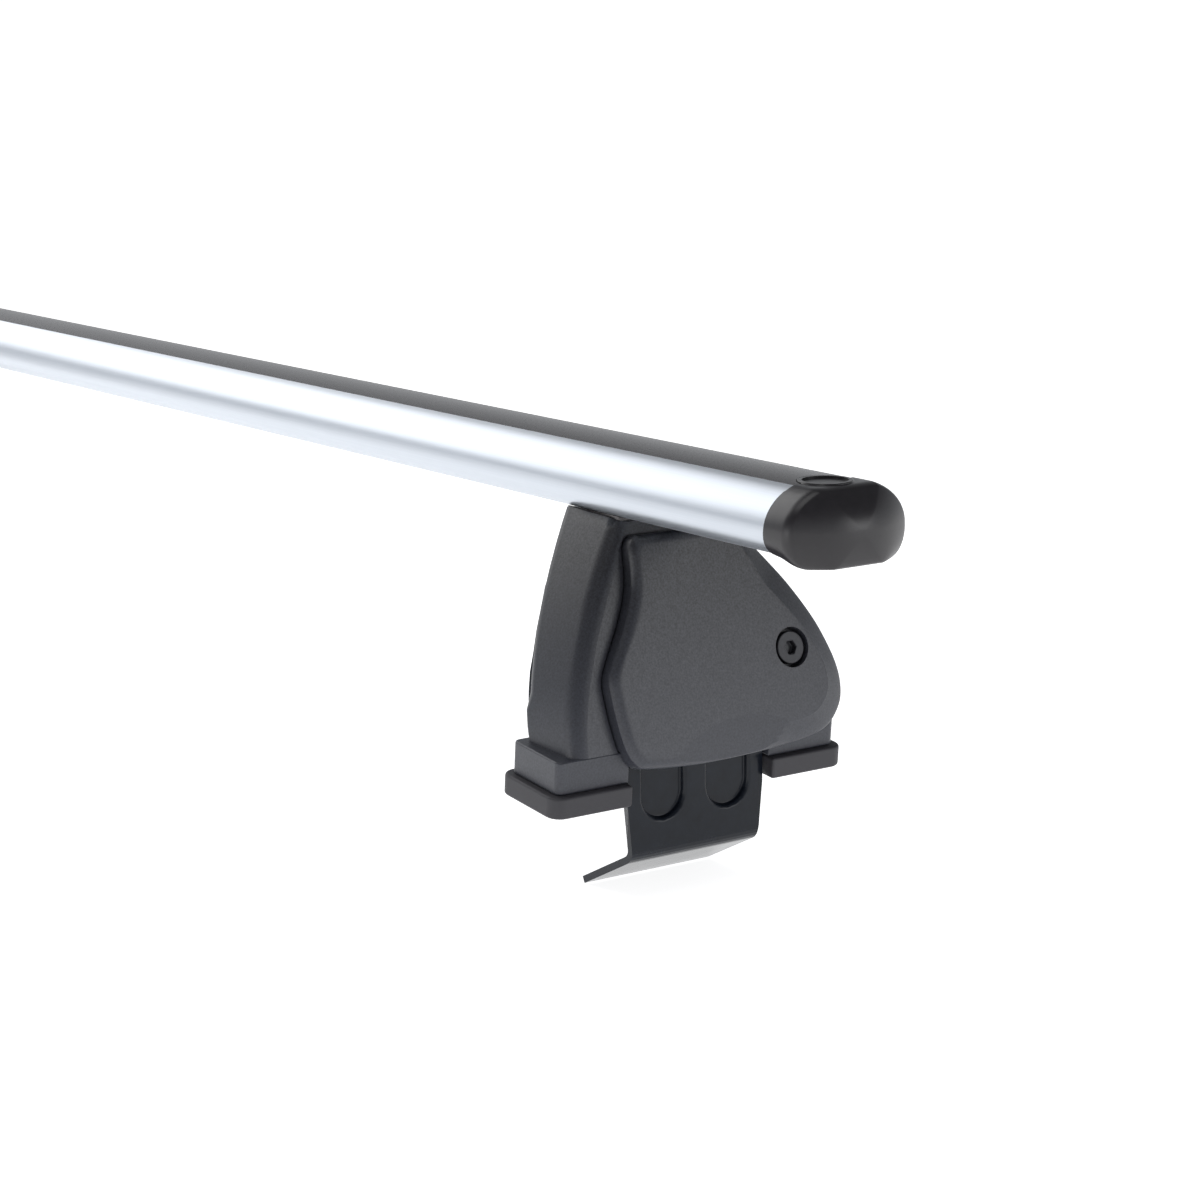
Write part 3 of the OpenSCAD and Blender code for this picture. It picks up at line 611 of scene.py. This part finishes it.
for side, sign in SIDES.items():
    hook = finished_copy(f"{side}_clamp_hook", f"{side}_pressed_hook")
    bpy.ops.object.mode_set(mode="EDIT")
    bpy.ops.mesh.select_all(action="DESELECT")
    bpy.ops.object.mode_set(mode="OBJECT")
    for depth, radius in ((HOOK_FACE, RIM_R), (HOOK_FACE - POCKET_DEPTH, POCKET_FLOOR_R)):
        for vertex in hook.data.vertices:
            place = vertex.co
            vertex.select = (abs(sign * place.x - depth) < 2e-5
                             and POCKET_LOW - 1e-5 < place.z < POCKET_TOP + 1e-5
                             and abs(abs(place.y) - POCKET_Y) < POCKET_R + 1e-5)
        bpy.ops.object.mode_set(mode="EDIT")
        bpy.ops.mesh.bevel(offset=radius, segments=4, affect="EDGES")
        bpy.ops.mesh.select_all(action="DESELECT")
        bpy.ops.object.mode_set(mode="OBJECT")
    bpy.ops.object.mode_set(mode="EDIT")
    bpy.ops.mesh.select_all(action="SELECT")
    bpy.ops.mesh.quads_convert_to_tris(ngon_method="BEAUTY")
    bpy.ops.object.mode_set(mode="OBJECT")
    smooth(hook, crease=35)
    dress(hook, coated)
    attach(hook, f"{side}_hook")
    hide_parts(f"{side}_clamp_hook")

# The covers: moulded in the towers' grained nylon, one open shell each, with a recess for its screw.
# The wavy edge lies beside the tower's bare flank, and the other falls back behind a crisp crease. A
# shallow scoop is cut over the hook. The knots, rings and places on the face are in millimetres.

COVER_KNOTS = (
    (-16, 83.6), (-21.5, 83.2), (-24.6, 79), (-25.4, 69), (-27, 61), (-32, 49.5), (-40, 35.5),
    (-43, 28.5), (-43, 21), (-41.6, 9), (-39.6, 0), (-36, -5.6), (-30, -8), (-5, -9.8),
    (25, -9.3), (50, -7.4), (62, -4), (69.5, 3.5), (71.8, 12), (70.5, 22), (65.6, 34.5),
    (60, 44.5), (51.6, 56.5), (42.9, 66.7), (33, 77), (27, 82.5), (20, 83.6))
COVER_MIDDLE = (12, 36)
COVER_INSIDE = ((4.1, 6, 9, 0), (3.2, 3.6, 4, 0.6), (1, 2.6, 1, 0), (-1.3, 2.6, 0, 0))
COVER_OUTSIDE = (
    (-1.3, 0, 0, 0), (3.6, 0, 0, 1.8), (4.6, 0.2, 0.2, 2.3), (5.4, 0.8, 0.4, 2.6), (6.0, 1.45, 2.1, 2.1),
    (6.5, 2.3, 4.0, 1.45), (6.85, 3.3, 5.6, 0.75), (7.0, 4.3, 6.6, 0.05), (7.05, 5.3, 7, 0))
COVER_FACE = 7.05
COVER_CROWN = 0.25
WRAP_FROM = 22
WRAP_RUN = 26
FACE_LEAN = math.radians(13.5)
FACE_HEIGHT = 0.0068
SCREW_UV = (45.8, 30.1)
RECESS_R = 0.0083
SCOOP_R = 0.41
SCOOP_TOP = (17, 6.3)
SCOOP_TIP = math.radians(8)
SCOOP_FACE = 7.15
BOSS_ROUND_SCREW = 0.0101
BOSS_LENGTH = 0.0063
COVER_RIM = -1.3
RECESS_FLOOR = 1.6
SCREW_HOLE_R = 0.0043
BLOCK_MIDDLE = (-0.01635, 0, -0.01325)
BLOCK_SIZE = (0.0333, 0.274, 0.0271)

face = Matrix(((0, -math.sin(FACE_LEAN), math.cos(FACE_LEAN), FOOT_X), (1, 0, 0, 0),
               (0, math.cos(FACE_LEAN), math.sin(FACE_LEAN), FOOT_Z), (0, 0, 0, 1)))


def on_face(u, v, w=0.0):
    """The matrix of a place on the tower's leaning face, given in millimetres."""
    return face @ Matrix.Translation((u / 1000, v / 1000, w / 1000))


def cover_curve(steps=5):
    """The smooth closed outline through the knots."""
    count = len(COVER_KNOTS)
    for i in range(count):
        a, b, c, d = (Vector(COVER_KNOTS[(i + k) % count]) for k in (-1, 0, 1, 2))
        for k in range(steps):
            t = k / steps
            yield 0.5 * (2 * b + (c - a) * t + (2 * a - 5 * b + 4 * c - d) * t * t
                         + (3 * b - 3 * c + d - a) * t ** 3)


def cover_ring(height, inset, wrap_inset=0.0, wrap_drop=0.0, share=1.0):
    """One ring of the cover, pulled in and let down more where it wraps the far flank."""
    middle = Vector(COVER_MIDDLE)
    places = []
    for point in cover_curve():
        run = min(1, max(0, (point.x - WRAP_FROM) / WRAP_RUN))
        wrap = run * run * (3 - 2 * run)
        arm = point - middle
        spot = middle + arm * share * (1 - (inset + wrap_inset * wrap) / arm.length)
        places.append(on_face(spot.x, spot.y, height - wrap_drop * wrap).translation.to_tuple())
    return places


rings = [cover_ring(*numbers) for numbers in COVER_INSIDE + COVER_OUTSIDE]
for share in (0.8, 0.6, 0.4, 0.2, 0.04):
    rings.append(cover_ring(COVER_FACE + COVER_CROWN * (1 - share * share), 5.3, 7, 0, share))
cover = lofted("right_lift_off_cover", [cover_ring(4.4, 6, 9, 0, 0.3)] + rings)
cut(cover, round_bar(BOSS_ROUND_SCREW, BOSS_LENGTH, on_face(*SCREW_UV, COVER_RIM)), "UNION")
cut(cover, round_bar(RECESS_R, 0.02, on_face(*SCREW_UV, RECESS_FLOOR)))
cut(cover, round_bar(SCREW_HOLE_R, 0.02, on_face(*SCREW_UV, -5)))
scoop = (on_face(*SCOOP_TOP, SCOOP_FACE) @ Matrix.Rotation(math.pi / 2 + SCOOP_TIP, 4, "X")
         @ Matrix.Translation((0, SCOOP_R, -0.02)))
cut(cover, round_bar(SCOOP_R, 0.06, scoop, sides=720))
bpy.ops.object.select_all(action="DESELECT")
bpy.ops.mesh.primitive_cube_add(size=1, location=BLOCK_MIDDLE, scale=BLOCK_SIZE)
block_space = bpy.context.object
bpy.ops.object.transform_apply()
block_space.data.transform(seat)
cut(cover, block_space)
left_cover = other_side(cover, "left_lift_off_cover")
for side, piece in (("right", cover), ("left", left_cover)):
    flip = Matrix.Scale(SIDES[side], 4, (1, 0, 0))
    to_face, to_scoop = (flip @ face).inverted(), (flip @ scoop).inverted()
    # Each edge learns which kinds of faces meet at it, and the scoop's and the crease's are kept sharp.
    bend = {}
    for polygon in piece.data.polygons:
        spot = to_scoop @ polygon.center
        scooped = abs(math.hypot(spot.x, spot.y) - SCOOP_R) < 3e-5
        flat = (to_face.to_3x3() @ polygon.normal).z > 0.99 and (to_face @ polygon.center).z > FACE_HEIGHT
        for key in polygon.edge_keys:
            bend.setdefault(key, set()).add("scoop" if scooped else "flat" if flat else "side")
    for edge in piece.data.edges:
        kinds, spot = bend[edge.key], to_face @ piece.data.vertices[edge.vertices[0]].co
        edge.use_edge_sharp = kinds == {"scoop", "flat"} or kinds == {"flat", "side"} and spot.x > 0.03
    smooth(piece, crease=24)
    dress(piece, foot_nylon)
    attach(piece, f"{side}_cover")
    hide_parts(f"{side}_cover")

# The cover screws and tension screws: hex socket screws of steel, oiled and slightly shiny.
# Their black oxide finish is a little cloudy, about two millimetres wide.

OXIDE_LIGHT = "#2e2f34"
OXIDE_DARK = "#17171a"
OXIDE_CLOUD = 0.002

black, shader = start_material("black_oxide_steel", Metallic=0.4, Roughness=0.34)
place = add_node(black, "ShaderNodeTexCoord")
cloud = add_node(black, "ShaderNodeTexNoise", {
    "Vector": place.outputs["Object"], "Scale": 1 / OXIDE_CLOUD, "Detail": 4.0})
tone = add_node(black, "ShaderNodeMix", {
    "Factor": cloud.outputs["Fac"], "A": linear(OXIDE_DARK), "B": linear(OXIDE_LIGHT)}, data_type="RGBA")
black.node_tree.links.new(tone.outputs[2], shader.inputs["Base Color"])

for side in SIDES:
    for node in ("cover_screw", "tension_screw"):
        screw = finished_copy(f"{side}_{node}", f"{side}_socket_{node}")
        soften(screw, 0.0005, steps=3, sharp=40)
        smooth(screw)
        dress(screw, black)
        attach(screw, f"{side}_{node}")
        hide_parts(f"{side}_{node}")

# The floor, light and camera: a pale studio floor, soft boxes, and the photograph's own point of view.
# The camera was solved from straight edges, the pad's corners and the screw's recess in the photograph.

FLOOR_Z = cad_box[0].z - 0.0005
bpy.context.scene.view_settings.view_transform = "Standard"
bpy.ops.object.select_all(action="DESELECT")
bpy.ops.mesh.primitive_plane_add(size=1600, location=(0, 0, FLOOR_Z))
floor = bpy.context.object
floor.name = "studio_floor"
paper, shader = start_material("white_paper_sweep", Roughness=0.9)
shader.inputs["Base Color"].default_value = linear("#f4f4f4")
shader.inputs["Emission Color"].default_value = (1, 1, 1, 1)
shader.inputs["Emission Strength"].default_value = 0.85
dress(floor, paper)

world = bpy.data.worlds.new("studio")
bpy.context.scene.world = world
world.use_nodes = True
room = world.node_tree.nodes["Background"]
room.inputs["Color"].default_value = (0.94, 0.965, 1.0, 1)
direction = add_node(world, "ShaderNodeTexCoord")
height = add_node(world, "ShaderNodeSeparateXYZ", {"Vector": direction.outputs["Generated"]})
glow = add_node(world, "ShaderNodeMapRange", {
    "Value": height.outputs["Z"], "From Min": 0.0, "From Max": 0.5, "To Min": 0.95, "To Max": 0.14})
world.node_tree.links.new(glow.outputs["Result"], room.inputs["Strength"])


def softbox(name, size, place, aim, power, colour=(1, 1, 1)):
    """An area light that faces a point."""
    light = bpy.data.lights.new(name, "AREA")
    light.shape = "RECTANGLE"
    light.size, light.size_y = size
    light.energy = power
    light.color = colour
    lamp = bpy.data.objects.new(name, light)
    bpy.context.scene.collection.objects.link(lamp)
    lamp.location = place
    lamp.rotation_mode = "QUATERNION"
    lamp.rotation_quaternion = (Vector(aim) - Vector(place)).to_track_quat("-Z", "Y")
    return lamp


FOOT = (0.5, 0.0, -0.1)
softbox("top_softbox", (1.2, 1.2), (0.5, -0.3, 1.6), FOOT, 6)
softbox("left_softbox", (1.8, 1.4), (-1.2, -0.4, 1.05), FOOT, 17)
softbox("front_softbox", (1.2, 0.6), (0.4, -1.9, -0.05), FOOT, 4)
softbox("end_softbox", (0.9, 0.7), (2.1, 1.0, 0.25), FOOT, 4.5)

EYE = (1.4475, -0.682, 0.1795)
AZIMUTH, ELEVATION, ROLL = 0.601, 0.203, -0.011
LENS = 89.04
forward = Vector((-math.cos(ELEVATION) * math.cos(AZIMUTH), math.cos(ELEVATION) * math.sin(AZIMUTH),
                  -math.sin(ELEVATION)))
level = forward.cross(Vector((0, 0, 1))).normalized()
upright = level.cross(forward)
across = math.cos(ROLL) * level + math.sin(ROLL) * upright
up = -math.sin(ROLL) * level + math.cos(ROLL) * upright
camera = bpy.data.objects.new("camera", bpy.data.cameras.new("camera"))
bpy.context.scene.collection.objects.link(camera)
camera.data.sensor_width = 36
camera.data.lens = LENS
camera.data.clip_end = 2000
turn = Matrix((across, up, -forward)).transposed().to_4x4()
camera.matrix_world = Matrix.Translation(EYE) @ turn
bpy.context.scene.camera = camera
